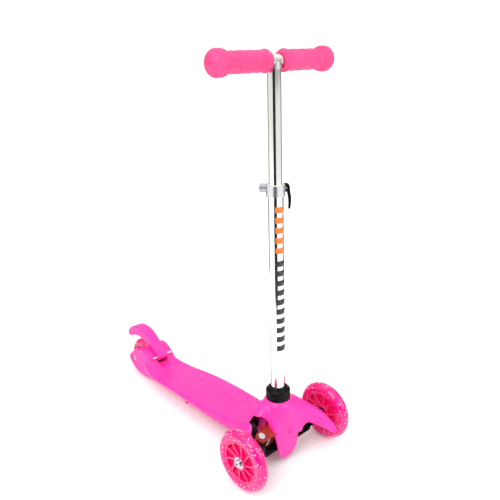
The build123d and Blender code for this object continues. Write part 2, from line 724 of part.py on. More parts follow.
for name, way in (("left", 1), ("right", -1)):
    ball_r = grip_ball_d / 2
    body_r = grip_body_d / 2
    neck_r = grip_neck_d / 2
    flange_r = grip_flange_d / 2
    ring_y = grip_ball_y - 0.75 * ball_r
    end_y = grip_ball_y + ball_r
    with BuildPart() as grip:
        with BuildSketch(Plane(origin=bar_top.origin, x_dir=bar_top.x_dir, z_dir=bar_top.z_dir)):
            with BuildLine():
                Polyline((crossbar_r, way * grip_inner_y), (neck_r - 1, way * grip_inner_y),
                         (neck_r, way * (grip_inner_y + 2)), (flange_r, way * (grip_flange_y - 2)),
                         (flange_r, way * (grip_flange_y + 2)), (neck_r, way * (grip_flange_y + 9)),
                         (body_r, way * ring_y), (ball_r - 2.6, way * ring_y),
                         (ball_r - 2.6, way * (ring_y + 4)), (ball_r - 1.2, way * (ring_y + 4)),
                         (ball_r - 1.2, way * (ring_y + 8)), (ball_r, way * (ring_y + 8)),
                         (ball_r, way * grip_ball_y))
                ThreePointArc((ball_r, way * grip_ball_y),
                              (ball_r * cos(radians(45)), way * (grip_ball_y + ball_r * sin(radians(45)))),
                              (0, way * end_y))
                Polyline((0, way * end_y), (0, way * crossbar_half),
                         (crossbar_r, way * crossbar_half), (crossbar_r, way * grip_inner_y))
            make_face()
        revolve(axis=Axis(bar_top.origin, (0, 1, 0)))
        with BuildSketch(Plane(origin=bar_top.origin + Vector(0, way * (end_y + 1), 0),
                               x_dir=(1, 0, 0), z_dir=(0, -way, 0))):
            Circle(1.5)
        extrude(amount=6, mode=Mode.SUBTRACT)
    grip.part.label = f"{name}_grip"
    export_step(grip.part, f"parts/{name}_grip.step")

# Height clamp: a split band with two ears, a bolt, a knurled nut, and a cam lever
clamp_mid = stem.offset(up_stem(clamp_height))
yaw = radians(clamp_yaw)
clamp_x = clamp_mid.x_dir * cos(yaw) + clamp_mid.y_dir * sin(yaw)
clamp = Plane(origin=clamp_mid.origin, x_dir=clamp_x, z_dir=stem.z_dir)
clamp_low = clamp.offset(-clamp_band_h / 2)
tube_r = lower_tube_d / 2
ear_half = 9.0
with BuildPart() as tube_clamp:
    with BuildSketch(clamp_low):
        Circle(tube_r + clamp_wall)
        with Locations((0, tube_r + clamp_ear_reach / 2)):
            RectangleRounded(2 * ear_half, clamp_ear_reach, 3)
        Circle(tube_r, mode=Mode.SUBTRACT)
        with Locations((0, tube_r + clamp_ear_reach / 2)):
            Rectangle(clamp_slot, clamp_ear_reach + 4, mode=Mode.SUBTRACT)
    extrude(amount=clamp_band_h)
    with BuildSketch(Plane(origin=clamp.from_local_coords(Vector(-2 * ear_half, clamp_bolt_offset, 0)),
                           x_dir=clamp.y_dir, z_dir=clamp.x_dir)):
        Circle(clamp_bolt_d / 2)
    extrude(amount=4 * ear_half, mode=Mode.SUBTRACT)
tube_clamp.part.label = "tube_clamp"
export_step(tube_clamp.part, "parts/tube_clamp.step")


def across_bolt(along):
    """A plane across the clamp bolt, at a distance along it from the tube's axis."""
    return Plane(origin=clamp.from_local_coords(Vector(along, clamp_bolt_offset, 0)),
                 x_dir=clamp.y_dir, z_dir=clamp.x_dir)


cam_washer_h = 3.0
nut_washer_h = 4.0
nut_length = 15.0
cam_at = ear_half + cam_washer_h + 0.2 + cam_r
eye_half = 3.0
cam_pin_r = 2.5
with BuildPart() as clamp_bolt:
    with BuildSketch(across_bolt(-ear_half - nut_washer_h - nut_length - 2)):
        Circle(clamp_bolt_d / 2)
    extrude(amount=ear_half + nut_washer_h + nut_length + 2 + cam_at - eye_half - 0.5)
    with BuildSketch(Plane(origin=clamp.from_local_coords(Vector(cam_at, clamp_bolt_offset - eye_half, 0)),
                           x_dir=clamp.x_dir, z_dir=clamp.y_dir)):
        Circle(4.5)
    extrude(amount=2 * eye_half)
    with BuildSketch(Plane(origin=clamp.from_local_coords(Vector(cam_at, clamp_bolt_offset - 6, 0)),
                           x_dir=clamp.x_dir, z_dir=clamp.y_dir)):
        Circle(cam_pin_r)
    extrude(amount=12)
clamp_bolt.part.label = "clamp_bolt"
export_step(clamp_bolt.part, "parts/clamp_bolt.step")

with BuildPart() as clamp_nut:
    with BuildSketch(across_bolt(-ear_half - nut_washer_h - nut_length)):
        Circle(8)
        Circle(clamp_bolt_d / 2, mode=Mode.SUBTRACT)
        with PolarLocations(8.2, 12):
            Circle(1.1, mode=Mode.SUBTRACT)
    extrude(amount=nut_length)
clamp_nut.part.label = "clamp_nut"
export_step(clamp_nut.part, "parts/clamp_nut.step")

with BuildPart() as clamp_washers:
    for start, height, outer in ((-ear_half - nut_washer_h, nut_washer_h, 8.0),
                                 (ear_half, cam_washer_h, 7.0)):
        with BuildSketch(across_bolt(start)):
            Circle(outer)
            Circle(clamp_bolt_d / 2, mode=Mode.SUBTRACT)
        extrude(amount=height)
clamp_washers.part.label = "clamp_washers"
export_step(clamp_washers.part, "parts/clamp_washers.step")

with BuildPart() as clamp_lever:
    for cheek in (clamp_bolt_offset - 6, clamp_bolt_offset + eye_half + 0.4):
        with BuildSketch(Plane(origin=clamp.from_local_coords(Vector(cam_at, cheek, 0)),
                               x_dir=clamp.x_dir, z_dir=clamp.y_dir)):
            Circle(cam_r)
            with Locations((cam_r - lever_thickness / 2, 4)):
                Rectangle(lever_thickness, 8)
            Circle(cam_pin_r + running_gap, mode=Mode.SUBTRACT)
        extrude(amount=6 - eye_half - 0.4)
    with BuildSketch(Plane(origin=clamp.from_local_coords(Vector(cam_at, clamp_bolt_offset - 6, 0)),
                           x_dir=clamp.x_dir, z_dir=clamp.y_dir)):
        with BuildLine():
            Polyline((cam_r, 5), (cam_r - lever_thickness, 5), (cam_r - lever_thickness, 10))
            ThreePointArc((cam_r - lever_thickness, 10), (cam_r - 3, 24), (cam_r - 3.5, lever_length))
            Line((cam_r - 3.5, lever_length), (cam_r, lever_length))
            ThreePointArc((cam_r, lever_length), (cam_r + 2, 22), (cam_r, 5))
        make_face()
    extrude(amount=12)
clamp_lever.part.label = "clamp_lever"
export_step(clamp_lever.part, "parts/clamp_lever.step")

# Front cowl: a thin three-lobed cover over the steering, open underneath and at its ends
def cowl_body(inset, drop, back):
    """The cowl's solid outline, drawn in by inset, its lower edges dropped by drop and the
    tongue's rear face moved back by back."""
    with BuildPart() as body:
        with BuildSketch(side_plane(stem_x)):
            with BuildLine():
                dome = Spline((0, 117 - inset), (26, 114 - inset), (34 - inset, 98), (36 - inset, 78),
                              (dome_r - inset, 62))
                Polyline(dome @ 1, (dome_r - inset, 60 - drop), (0, 60 - drop), dome @ 0)
            make_face()
        revolve(axis=Axis((stem_x, 0, 0), (0, 0, 1)))
        with BuildSketch(side_plane(front_axle_x, tongue_half_width - inset)):
            with BuildLine():
                nose = Spline((-30, 108 - inset), (-2 - inset, 94), (9 - inset, 74),
                              (tongue_front - inset, 45), (tongue_front - 2 - inset, tongue_tip_z - drop))
                Polyline(nose @ 1, (-4 - back, tongue_tip_z - drop), (-10 - back, 62 - back),
                         (-30, 62 - back), nose @ 0)
            make_face()
        extrude(amount=2 * (tongue_half_width - inset))
    return body.part


with BuildPart() as tongue_trim:
    with BuildSketch(Plane(origin=(front_axle_x - 60, 0, 0), x_dir=(0, 1, 0), z_dir=(1, 0, 0))):
        with BuildLine():
            edge = Spline((tongue_half_width + 1, 84), (tongue_half_width - 3, 55), (22, 22))
            round_tip = ThreePointArc(edge @ 1, (0, tongue_tip_z), (-22, 22))
            Polyline(edge @ 0, (120, 84), (120, 200), (-120, 200), (-120, 84),
                     (-tongue_half_width - 1, 84))
            Spline((-tongue_half_width - 1, 84), (-tongue_half_width + 3, 55), round_tip @ 1)
        make_face()
    extrude(amount=120)

with BuildPart() as front_cowl:
    add(cowl_body(0, 0, 0))
    add(tongue_trim.part, mode=Mode.INTERSECT)
    for way in (1, -1):
        with BuildSketch(side_plane(front_axle_x, way * 20)):
            with Locations((-20, 90)):
                RectangleRounded(64, 44, 16)
        with BuildSketch(side_plane(front_axle_x, way * lobe_reach_y)):
            with Locations(((lobe_front - lobe_back) / 2, (lobe_top_z + lobe_rim_z) / 2)):
                RectangleRounded(lobe_front + lobe_back, lobe_top_z - lobe_rim_z, 16)
        loft()
    add(cowl_body(cowl_wall, 5, 15), mode=Mode.SUBTRACT)
    for way in (1, -1):
        with BuildSketch(side_plane(front_axle_x, 0)):
            with Locations((-20, 80)):
                RectangleRounded(64 - 2 * cowl_wall, 60, 14)
        with BuildSketch(side_plane(front_axle_x, way * (lobe_reach_y + 2))):
            with Locations(((lobe_front - lobe_back) / 2, (lobe_top_z + lobe_rim_z) / 2 - 20)):
                RectangleRounded(lobe_front + lobe_back - 2 * cowl_wall,
                                 lobe_top_z - lobe_rim_z + 40 - 2 * cowl_wall, 14)
        loft(mode=Mode.SUBTRACT)
    with BuildSketch(Plane.XY):
        with Locations((neck_x - 50, 0)):
            Rectangle(100 - 2 * side_gap, 120)
    extrude(amount=68, mode=Mode.SUBTRACT)
    with BuildSketch(stem.offset(up_stem(collar_base_z))):
        Circle(4 * collar_d)
    extrude(amount=40, mode=Mode.SUBTRACT)
    with BuildSketch(stem):
        Circle(post_r)
    extrude(amount=40, mode=Mode.SUBTRACT)
front_cowl.part.label = "front_cowl"
export_step(front_cowl.part, "parts/front_cowl.step")
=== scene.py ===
from math import cos, pi, radians, sin, tau

import bmesh
import bpy
import numpy as np
from mathutils import Matrix, Vector
from mathutils.bvhtree import BVHTree


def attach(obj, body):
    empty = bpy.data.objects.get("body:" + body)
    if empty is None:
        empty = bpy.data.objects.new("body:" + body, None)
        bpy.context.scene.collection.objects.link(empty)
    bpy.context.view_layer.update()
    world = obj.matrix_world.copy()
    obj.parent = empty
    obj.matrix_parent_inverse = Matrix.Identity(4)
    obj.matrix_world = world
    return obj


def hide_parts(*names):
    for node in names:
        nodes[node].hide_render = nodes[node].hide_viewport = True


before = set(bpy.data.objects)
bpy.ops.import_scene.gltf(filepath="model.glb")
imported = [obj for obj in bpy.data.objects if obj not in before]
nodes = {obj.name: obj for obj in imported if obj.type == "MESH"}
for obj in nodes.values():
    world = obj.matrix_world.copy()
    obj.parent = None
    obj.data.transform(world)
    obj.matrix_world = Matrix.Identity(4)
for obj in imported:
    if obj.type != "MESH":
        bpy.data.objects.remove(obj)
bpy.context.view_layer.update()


# Deck: the footboard, one injection moulding of pink polypropylene with a hollow ribbed
# underside, a grooved top for grip, and a fork at the back that holds the rear wheel. The
# saturated pink has a satin skin with the fine matt grain of the mould.
def srgb(hex_colour):
    """A shader colour from an sRGB hex value."""
    parts = [int(hex_colour[i : i + 2], 16) / 255 for i in (1, 3, 5)]
    return [p / 12.92 if p <= 0.04045 else ((p + 0.055) / 1.055) ** 2.4 for p in parts] + [1]


def add(tree, kind, sockets, **settings):
    """Adds a node. A socket's value is a number, a colour, or (node, output) for a link."""
    made = tree.nodes.new(kind)
    for key, value in settings.items():
        setattr(made, key, value)
    for key, value in sockets.items():
        if isinstance(value, tuple) and isinstance(value[0], bpy.types.Node):
            tree.links.new(value[0].outputs[value[1]], made.inputs[key])
        else:
            made.inputs[key].default_value = value
    return made


def new_material(name):
    """A material with an empty tree, its Principled shader and its object coordinates."""
    made = bpy.data.materials.new(name)
    made.use_nodes = True
    tree = made.node_tree
    tree.nodes.clear()
    shader = add(tree, "ShaderNodeBsdfPrincipled", {})
    add(tree, "ShaderNodeOutputMaterial", {"Surface": (shader, "BSDF")})
    return made, tree, shader, add(tree, "ShaderNodeTexCoord", {})


def moulded(name, colour, darker, rough, grain_mm, depth_mm, coat=0.0, gloss=0.4):
    """Injection-moulded plastic: slight cloudiness in the pigment and a fine mould grain."""
    made, tree, shader, place = new_material(name)
    cloud = add(
        tree,
        "ShaderNodeTexNoise",
        {"Vector": (place, "Object"), "Scale": 1 / 0.035, "Detail": 3.0},
    )
    tone = add(tree, "ShaderNodeValToRGB", {"Fac": (cloud, "Fac")})
    tone.color_ramp.elements[0].position, tone.color_ramp.elements[1].position = 0.32, 0.62
    tone.color_ramp.elements[0].color = srgb(darker)
    tone.color_ramp.elements[1].color = srgb(colour)
    grain = add(
        tree,
        "ShaderNodeTexNoise",
        {"Vector": (place, "Object"), "Scale": 1000 / grain_mm, "Detail": 2.0},
    )
    spread = add(
        tree,
        "ShaderNodeMapRange",
        {"Value": (grain, "Fac"), "To Min": rough - 0.05, "To Max": rough + 0.07},
    )
    relief = add(
        tree,
        "ShaderNodeBump",
        {"Height": (grain, "Fac"), "Distance": depth_mm / 1000, "Strength": 0.5},
    )
    tree.links.new(tone.outputs["Color"], shader.inputs["Base Color"])
    tree.links.new(spread.outputs["Result"], shader.inputs["Roughness"])
    tree.links.new(relief.outputs["Normal"], shader.inputs["Normal"])
    shader.inputs["IOR"].default_value = 1.49
    shader.inputs["Specular IOR Level"].default_value = gloss
    shader.inputs["Coat Weight"].default_value = coat
    shader.inputs["Coat Roughness"].default_value = 0.2
    return made


def to_object(name, verts, faces):
    """A smooth-shaded mesh object in millimetres, turned to metres, faces outwards."""
    mesh = bpy.data.meshes.new(name)
    mesh.from_pydata([[c / 1000 for c in v] for v in verts], [], faces)
    shape = bmesh.new()
    shape.from_mesh(mesh)
    bmesh.ops.remove_doubles(shape, verts=shape.verts, dist=1e-6)
    bmesh.ops.recalc_face_normals(shape, faces=shape.faces)
    shape.to_mesh(mesh)
    shape.free()
    mesh.shade_smooth()
    made = bpy.data.objects.new(name, mesh)
    bpy.context.scene.collection.objects.link(made)
    return made


def loft(name, rings, around=False):
    """A solid through closed rings of equally many points, capped unless it runs around."""
    count, size = len(rings), len(rings[0])
    verts = [p for ring in rings for p in ring]
    steps = count if around else count - 1
    faces = [
        (
            i * size + j,
            i * size + (j + 1) % size,
            (i + 1) % count * size + (j + 1) % size,
            (i + 1) % count * size + j,
        )
        for i in range(steps)
        for j in range(size)
    ]
    if not around:
        faces += [tuple(range(size)), tuple((count - 1) * size + j for j in range(size))]
    return to_object(name, verts, faces)


def settle(piece):
    """Applies a piece's modifiers to its mesh."""
    bpy.context.view_layer.update()
    deps = bpy.context.evaluated_depsgraph_get()
    mesh = bpy.data.meshes.new_from_object(piece.evaluated_get(deps))
    piece.modifiers.clear()
    piece.data = mesh
    mesh.shade_smooth()
    return piece


def join(piece, *others):
    """Adds the other pieces' meshes to the first and removes them."""
    shape = bmesh.new()
    for part in (piece, *others):
        shape.from_mesh(part.data)
    shape.to_mesh(piece.data)
    shape.free()
    for part in others:
        bpy.data.objects.remove(part)
    return piece


def soften(piece, voxel_mm, rounds):
    """Merges overlapping solids into one skin and rounds its edges, as a mould does."""
    remesh = piece.modifiers.new("skin", "REMESH")
    remesh.mode, remesh.voxel_size = "VOXEL", voxel_mm / 1000
    if rounds:
        smooth = piece.modifiers.new("round", "SMOOTH")
        smooth.factor, smooth.iterations = 0.5, rounds
    return settle(piece)


def cut(piece, *cutters):
    """Takes the cutters' solids away from the piece."""
    for cutter in cutters:
        change = piece.modifiers.new("cut", "BOOLEAN")
        change.operation, change.object, change.solver = "DIFFERENCE", cutter, "MANIFOLD"
        settle(piece)
        bpy.data.objects.remove(cutter)
    return piece


def box_mm(name, low, high):
    """A plain block, used to cut."""
    (x0, y0, z0), (x1, y1, z1) = low, high
    rings = [[(x, y0, z0), (x, y1, z0), (x, y1, z1), (x, y0, z1)] for x in (x0, x1)]
    return loft(name, rings)


def rod_y(name, x, z, radius, y0, y1, sides=48):
    """A plain round bar along Y, used to cut."""
    angles = [tau * i / sides for i in range(sides)]
    rings = [[(x + radius * cos(a), y, z + radius * sin(a)) for a in angles] for y in (y0, y1)]
    return loft(name, rings)


def copy_of(node, name):
    """A merged copy of a CAD node's mesh, to be softened."""
    made = nodes[node].copy()
    made.data = nodes[node].data.copy()
    for key in list(made.keys()):
        del made[key]
    made.name, made.parent = name, None
    bpy.context.scene.collection.objects.link(made)
    shape = bmesh.new()
    shape.from_mesh(made.data)
    bmesh.ops.remove_doubles(shape, verts=shape.verts, dist=1e-6)
    shape.to_mesh(made.data)
    shape.free()
    if "custom_normal" in made.data.attributes:
        made.data.attributes.remove(made.data.attributes["custom_normal"])
    return made


def place(piece, body, slot, material, *replaced):
    """Gives a finished piece its material and its body in the frame. The slot is not used."""
    piece.data.materials.clear()
    piece.data.materials.append(material)
    if replaced:
        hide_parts(*replaced)
    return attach(piece, body)


def coat_node(node, material):
    """Gives a CAD node that keeps its shape a material."""
    nodes[node].data.materials.clear()
    nodes[node].data.materials.append(material)


front_axle_x, rear_axle_x, stem_x = 239.0, -247.0, 215.7
rear_axle_z = 40.0
brake_pin_x, brake_pin_z = rear_axle_x + 73, 64.0
pink_polypropylene = moulded(
    "pink polypropylene", "#fb2f9f", "#f7279a", rough=0.36, grain_mm=0.9, depth_mm=0.03
)
# Along the deck: place, half width, top, underside
deck_lines = np.array(
    [
        (-214, 34.0, 62.0, 22.0),
        (-201, 36.0, 55.0, 22.5),
        (-181, 42.0, 47.2, 24.0),
        (-161, 46.7, 42.2, 27.0),
        (-141, 48.8, 40.0, 29.5),
        (-121, 50.4, 39.9, 31.5),
        (-101, 51.8, 41.6, 33.5),
        (-81, 53.4, 43.8, 35.5),
        (-61, 54.6, 46.0, 37.5),
        (-21, 56.2, 49.8, 39.0),
        (19, 57.0, 52.2, 38.5),
        (59, 56.0, 54.4, 36.0),
        (99, 52.9, 57.0, 34.0),
        (139, 49.0, 60.2, 33.5),
        (178, 45.5, 64.0, 35.0),
    ]
)
edge_round = 8.0
deck_rings = []
for x in np.arange(-214, 179, 4.0):
    half, top, low = (np.interp(x, deck_lines[:, 0], deck_lines[:, k]) for k in (1, 2, 3))
    bend = min(edge_round, (top - low) * 0.6)
    side = [(half - bend * (1 - cos(a)) - 0.6, top - 0.8 - bend * (1 - sin(a)))
            for a in np.linspace(0.0, pi / 2, 7)]
    crown = [(y, top - 0.8 * (y / half) ** 2) for y in np.linspace(half - bend, 0, 8)[1:]]
    right = [(half - 1.6, low), (half - 0.6, (low + top - bend) / 2)] + side + crown
    ring = right + [(-y, z) for y, z in right[-2::-1]]
    deck_rings.append([(x, y, z) for y, z in ring])
deck = loft("deck_moulding", deck_rings)
# Side outline of a fork arm, from the rear axle
arm_outline = [(120, 38), (104, 40), (84, 48), (60, 69), (37, 77.5), (12, 69), (-9, 53),
               (-18.5, 40), (-11, 26), (6, 14), (28, 8.5), (56, 11), (86, 21), (112, 30)]
arm_inner, arm_outer = 14.0, 34.5


def smooth_line(points, steps):
    """Points on a closed smooth line through the given ones."""
    made = []
    for i in range(len(points)):
        p = [np.array(points[(i + k - 1) % len(points)], float) for k in range(4)]
        for t in np.arange(steps) / steps:
            made.append(
                0.5 * (2 * p[1] + (p[2] - p[0]) * t + (2 * p[0] - 5 * p[1] + 4 * p[2] - p[3]) * t**2
                       + (3 * p[1] - p[0] - 3 * p[2] + p[3]) * t**3)
            )
    return made


arm_side = smooth_line(arm_outline, 6)
for way, arm in ((1, "left"), (-1, "right")):
    ys = (arm_inner - 2, arm_outer)
    rings = [[(rear_axle_x + p[0], way * y, p[1]) for p in arm_side] for y in ys]
    join(deck, loft(arm, rings))
join(deck, box_mm("bridge", (-160, -20, 28), (-135, 20, 40)))
soften(deck, 1.7, 9)
cut(
    deck,
    box_mm("wheel_gap", (-300, -arm_inner, 0), (-176, arm_inner, 120)),
    rod_y("pivot_gap", brake_pin_x, brake_pin_z, 15, -arm_inner, arm_inner),
)
# Pockets of the underside, between ribs
rib = 2.5
floor_wall = 4.0
pocket_step = 41.2
pocket_solids = []
for row in range(8):
    x0 = -172 + row * pocket_step + rib / 2
    x1 = x0 + pocket_step - rib
    for y0, y1 in ((-70, -29.25), (-26.75, -1.25), (1.25, 26.75), (29.25, 70)):
        if row == 0 and abs(y0 + y1) < 60:
            continue
        rings = []
        for x in np.linspace(x0, x1, 6):
            half, top, low = (np.interp(x, deck_lines[:, 0], deck_lines[:, k]) for k in (1, 2, 3))
            a, b = max(y0, 4.5 - half), min(y1, half - 4.5)
            roof = max(top - floor_wall - 0.8, low + 1.0)
            rings.append([(x, a, low - 12), (x, b, low - 12), (x, b, roof), (x, a, roof)])
        pocket_solids.append(loft("pocket", rings))
cut(deck, join(*pocket_solids))
# Grip grooves across the top, bowed forwards and fading out at their ends
groove_wide, groove_deep, groove_bow = 1.7, 0.9, 130.0
skin = BVHTree.FromObject(deck, bpy.context.evaluated_depsgraph_get())
groove_solids = []
for mid in np.linspace(-121, 99, 9):
    rings = []
    for y in np.linspace(-40, 40, 41):
        x = mid - groove_bow + (groove_bow**2 - y * y) ** 0.5
        hit = skin.ray_cast(Vector((x / 1000, y / 1000, 0.2)), Vector((0, 0, -1)))[0]
        fade = min(1.0, (40.6 - abs(y)) / 8)
        z = hit.z * 1000 - groove_deep * fade
        wide = groove_wide * (0.35 + 0.65 * fade)
        rings.append([(x - wide * 0.3, y, z), (x + wide * 0.3, y, z),
                      (x + wide, y, z + 4), (x - wide, y, z + 4)])
    groove_solids.append(loft("groove", rings))
cut(deck, join(*groove_solids))
# A small oval foot under each edge
peg_x = -21
peg_round = np.linspace(0, tau, 25)[:-1]
pegs = [
    loft("peg", [[(peg_x + 4 * cos(a), way * 45 + 2.6 * sin(a), z) for a in peg_round]
                 for z in (24, 46)])
    for way in (1, -1)
]
# The recess for each end of the axle, and the holes for the axle and the brake's pin
for way in (1, -1):
    side = way * (arm_outer + 2)
    cut(deck, rod_y("recess", rear_axle_x, rear_axle_z, 10, side, way * (arm_outer - 7.5)))
cut(
    deck,
    rod_y("axle_hole", rear_axle_x, rear_axle_z, 4.05, -60, 60),
    rod_y("pin_hole", brake_pin_x, brake_pin_z, 3.05, -60, 60),
    box_mm("base_notch", (155, -30, 20), (190, 30, 49)),
)
join(deck, *pegs)
place(deck, "frame", "pink_pp", pink_polypropylene, "deck")

# Steering gear: a red-brown glass-filled nylon base screwed under the deck's front, with
# steel kingpins that lean back, a black knuckle on each, a black link between them and
# two coil springs that bring the wheels straight. Glass fibre leaves the skin a little rough.
red_nylon = moulded("red glass-filled nylon", "#9c2016", "#80160f", 0.42, 0.7, 0.05)
black_nylon = moulded("black glass-filled nylon", "#0c0c0d", "#070708", 0.33, 0.8, 0.04, gloss=0.12)


def metal(name, colour, rough, brush_mm, stretch, depth_mm):
    """Metal with fine marks drawn out along one axis, from polishing, plating or drawing."""
    made, tree, shader, place_at = new_material(name)
    turn = add(tree, "ShaderNodeMapping", {"Vector": (place_at, "Object"), "Scale": stretch})
    marks = add(
        tree,
        "ShaderNodeTexNoise",
        {"Vector": (turn, "Vector"), "Scale": 1000 / brush_mm, "Detail": 4.0},
    )
    spread = add(
        tree,
        "ShaderNodeMapRange",
        {"Value": (marks, "Fac"), "To Min": rough * 0.75, "To Max": rough * 1.3},
    )
    relief = add(
        tree,
        "ShaderNodeBump",
        {"Height": (marks, "Fac"), "Distance": depth_mm / 1000, "Strength": 0.3},
    )
    tree.links.new(spread.outputs["Result"], shader.inputs["Roughness"])
    tree.links.new(relief.outputs["Normal"], shader.inputs["Normal"])
    shader.inputs["Base Color"].default_value = srgb(colour)
    shader.inputs["Metallic"].default_value = 1.0
    return made


zinc_steel = metal("zinc-plated steel", "#c9ccd0", 0.28, 1.2, (1, 1, 1), 0.02)
for node, slot_name, stuff in (
    ("steering_base", "red_nylon", red_nylon),
    ("steering_link", "black_nylon", black_nylon),
    ("left_knuckle", "black_nylon", black_nylon),
    ("right_knuckle", "black_nylon", black_nylon),
):
    body = {"steering_base": "frame"}.get(node, node)
    place(soften(copy_of(node, node + "_moulding"), 0.8, 2), body, slot_name, stuff, node)
for node in ("kingpins", "centring_springs", "base_bolts"):
    coat_node(node, zinc_steel)

# Wheels: a clear pink polyurethane tyre with glitter cast over a glossy pink nylon hub with
# leaning spokes. A steel ball bearing sits in each face of the hub, on an 8 mm axle bolt.
hub_nylon = moulded("glossy pink nylon", "#ee0670", "#e0045c", 0.16, 2.5, 0.01, coat=0.6)
bearing_steel = metal("ground bearing steel", "#d4d6d8", 0.16, 0.8, (1, 1, 1), 0.01)
tyre_rubber, tree, shader, place_at = new_material("clear pink polyurethane with glitter")
# Glitter flakes about 1 mm across, drawn a little coarse so that they show. Their pale colour is
# partly the flakes' own and partly painted glint, standing in for light sparkling off them.
flakes = add(tree, "ShaderNodeTexVoronoi", {"Vector": (place_at, "Object"), "Scale": 1000 / 1.9})
tone = add(tree, "ShaderNodeSeparateColor", {"Color": (flakes, "Color")})
glitter_and_glint = add(
    tree,
    "ShaderNodeMapRange",
    {"Value": (tone, "Red"), "From Min": 0.95, "From Max": 0.965},
)
depth = add(
    tree,
    "ShaderNodeTexNoise",
    {"Vector": (place_at, "Object"), "Scale": 1 / 0.012, "Detail": 3.0},
)
pinks = add(tree, "ShaderNodeMix", {"Factor": (depth, "Fac")}, data_type="RGBA")
for key, value in (("A", "#e0086a"), ("B", "#fa1c92")):
    [s for s in pinks.inputs if s.name == key and s.type == "RGBA"][0].default_value = srgb(value)
speckled = add(tree, "ShaderNodeMix", {"Factor": (glitter_and_glint, "Result")}, data_type="RGBA")
colour_in = [s for s in speckled.inputs if s.type == "RGBA"]
tree.links.new([s for s in pinks.outputs if s.type == "RGBA"][0], colour_in[0])
# Pale pink flake colour: the glitter's own colour, and also painted glint
colour_in[1].default_value = srgb("#ffd3e6")
tree.links.new([s for s in speckled.outputs if s.type == "RGBA"][0], shader.inputs["Base Color"])
shader.inputs["Transmission Weight"].default_value = 0.12
shader.inputs["Subsurface Weight"].default_value = 0.2
shader.inputs["Specular IOR Level"].default_value = 0.35
shader.inputs["Subsurface Radius"].default_value = (0.006, 0.002, 0.003)
shader.inputs["Subsurface Scale"].default_value = 1.0
shader.inputs["Roughness"].default_value = 0.12
shader.inputs["IOR"].default_value = 1.5
shader.inputs["Coat Weight"].default_value = 0.3
shader.inputs["Coat Roughness"].default_value = 0.05


def turned(name, profile, centre, sides=96, upright=False):
    """A ring or solid turned about an axis along Y, or up, from (radius, along) points."""
    rings = []
    for a in np.linspace(0, tau, sides + 1)[:-1]:
        c, s = cos(a), sin(a)
        spots = [(r * c, r * s, h) if upright else (r * c, h, r * s) for r, h in profile]
        rings.append([(centre[0] + x, centre[1] + y, centre[2] + z) for x, y, z in spots])
    return loft(name, rings, around=True)


for wheel, axle, radius, rim in (
    ("left_wheel", (front_axle_x, 115.75), 60.0, 41.0),
    ("right_wheel", (front_axle_x, -115.75), 60.0, 41.0),
    ("rear_wheel", (rear_axle_x, 0.0), 40.0, 27.0),
):
    right = [(rim, 0.0), (rim, 9.7), (rim + 1.2, 11.0), (rim + 3, 11.7), (radius - 9.5, 12.0),
             (radius - 8, 11.8), (radius - 6.4, 11.0), (radius - 4.2, 9.0), (radius - 2.2, 6.6),
             (radius - 0.9, 4.0), (radius - 0.2, 1.8)]
    profile = right + [(radius, 0.0)] + [(r, -y) for r, y in right[:0:-1]]
    tyre = turned(wheel + "_tread", profile, (axle[0], axle[1], radius))
    place(tyre, wheel, "clear_pink_pu", tyre_rubber, wheel + "_tyre")
    hub = soften(copy_of(wheel + "_hub", wheel + "_spokes"), 0.75, 2)
    place(hub, wheel, "hub_pink", hub_nylon, wheel + "_hub")
    coat_node(wheel + "_bearings", bearing_steel)
    coat_node(wheel + "_spacer", zinc_steel)
for node in ("left_axle_bolt", "right_axle_bolt", "rear_axle_bolt", "rear_axle_nut",
             "rear_axle_washers", "brake_pin", "brake_spring"):
    coat_node(node, zinc_steel)

# Brake: a curved lever of the same pink polypropylene over the rear wheel. It turns on a
# steel pin between the fork arms, and a wire spring lifts it off the tyre.
brake_lever = soften(copy_of("brake_fender", "brake_lever"), 0.8, 5)
place(brake_lever, "brake", "pink_pp", pink_polypropylene, "brake_fender")

# Lower tube: polished aluminium, 28 mm, with a white acetal liner that the upper tube runs
# in. The polish leaves faint lines along the tube. Orange and black bars are printed on it.
polished_aluminium = metal("polished aluminium", "#dcdcd8", 0.1, 1.0, (1, 1, 0.02), 0.006)
white_acetal = moulded("white acetal", "#e8e6df", "#dedcd4", 0.3, 1.0, 0.01)
coat_node("lower_tube", polished_aluminium)
coat_node("tube_liner", white_acetal)
rake = radians(2.1)
stem_matrix = Matrix.Translation((stem_x / 1000, 0, 0.1)) @ Matrix.Rotation(-rake, 4, "Y")


